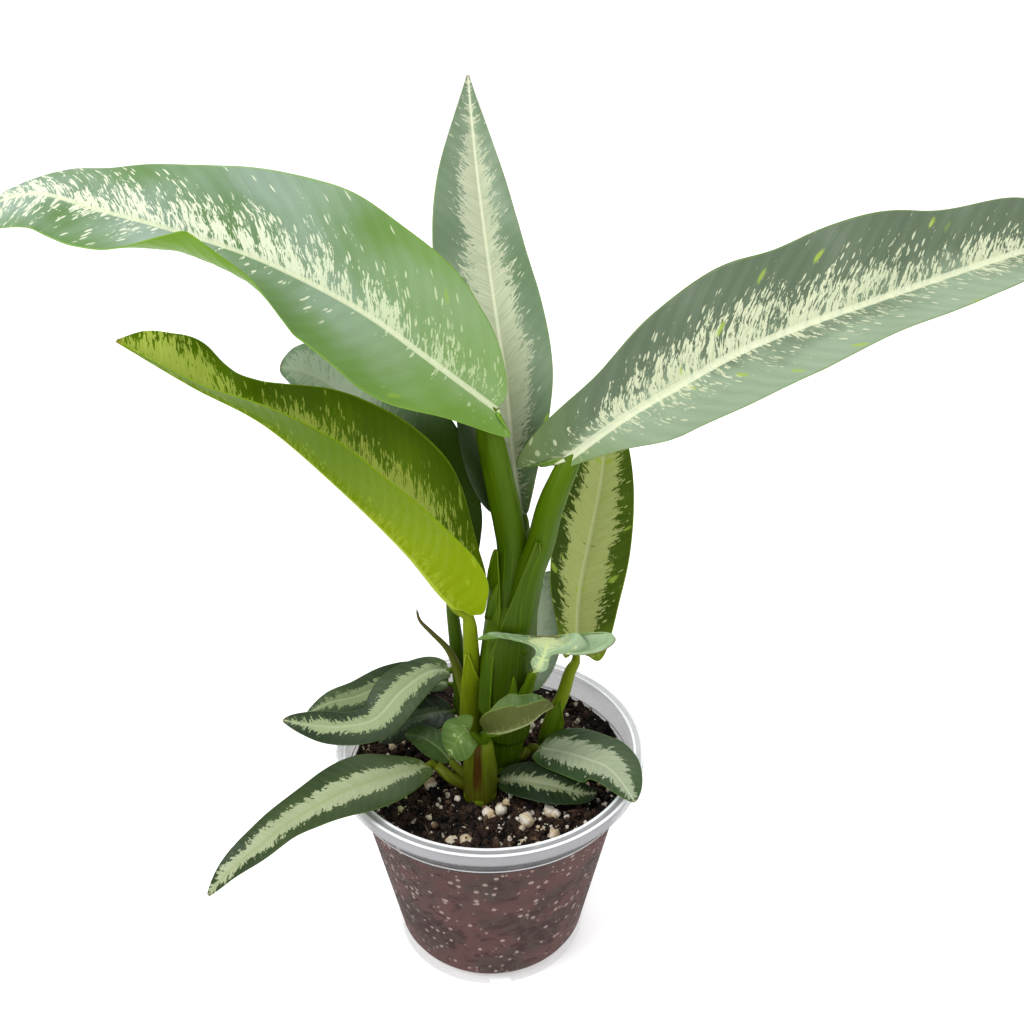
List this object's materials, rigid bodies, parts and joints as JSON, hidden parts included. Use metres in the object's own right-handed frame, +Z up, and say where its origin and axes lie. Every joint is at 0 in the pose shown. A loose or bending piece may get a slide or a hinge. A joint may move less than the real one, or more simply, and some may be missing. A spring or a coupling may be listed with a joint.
{
  "type": "potted dieffenbachia",
  "caption": "Young variegated house plant in a clear nursery pot of dark potting mix, with tall cream-streaked leaves and small basal leaves over the rim.",
  "frame": {"origin": "middle of the pot's underside, where it rests", "axes": "+Z up along the pot's axis, -Y to the front as pictured, +X to the right"},
  "size_m": [0.3755, 0.1449, 0.3552],
  "materials": {
    "pot": "clear milky thin-walled plastic, glossy",
    "soil": "dark moist bark mix with white perlite, matt",
    "shoot_main": "fresh green stalks with paler stripes, satin",
    "shoot_left": "fresh green stalks with paler stripes, satin",
    "shoot_right": "fresh green stalks with paler stripes, satin",
    "shoot_front": "fresh green stalks with paler stripes, satin",
    "leaf_upper_left": "variegated leaf, cream on green, satin",
    "leaf_upper_middle": "variegated leaf, cream on green, satin",
    "leaf_upper_right": "variegated leaf, cream on green, satin",
    "leaf_young_left": "variegated leaf, cream on green, satin",
    "leaf_behind_left": "variegated leaf, cream on green, satin",
    "leaf_right": "variegated leaf, cream on green, satin",
    "leaf_behind": "variegated leaf, cream on green, satin",
    "leaf_ruffled": "variegated leaf, cream on green, satin",
    "leaf_folded": "variegated leaf, cream on green, satin",
    "leaf_folded_left": "variegated leaf, cream on green, satin",
    "leaf_low_left": "variegated leaf, cream on green, satin",
    "leaf_low_left_back": "variegated leaf, cream on green, satin",
    "leaf_low_left_under": "variegated leaf, cream on green, satin",
    "leaf_front_left": "variegated leaf, cream on green, satin",
    "leaf_front_left_back": "variegated leaf, cream on green, satin",
    "leaf_front_right": "variegated leaf, cream on green, satin",
    "leaf_front_right_under": "variegated leaf, cream on green, satin"
  },
  "bodies": {
    "root": {"pot": "pot", "soil": "soil", "shoot_main": "shoot_main", "shoot_left": "shoot_left", "shoot_right": "shoot_right", "shoot_front": "shoot_front", "leaf_upper_left": "leaf_upper_left", "leaf_upper_middle": "leaf_upper_middle", "leaf_upper_right": "leaf_upper_right", "leaf_young_left": "leaf_young_left", "leaf_behind_left": "leaf_behind_left", "leaf_right": "leaf_right", "leaf_behind": "leaf_behind", "leaf_ruffled": "leaf_ruffled", "leaf_folded": "leaf_folded", "leaf_folded_left": "leaf_folded_left", "leaf_low_left": "leaf_low_left", "leaf_low_left_back": "leaf_low_left_back", "leaf_low_left_under": "leaf_low_left_under", "leaf_front_left": "leaf_front_left", "leaf_front_left_back": "leaf_front_left_back", "leaf_front_right": "leaf_front_right", "leaf_front_right_under": "leaf_front_right_under"}
  },
  "joints": []
}
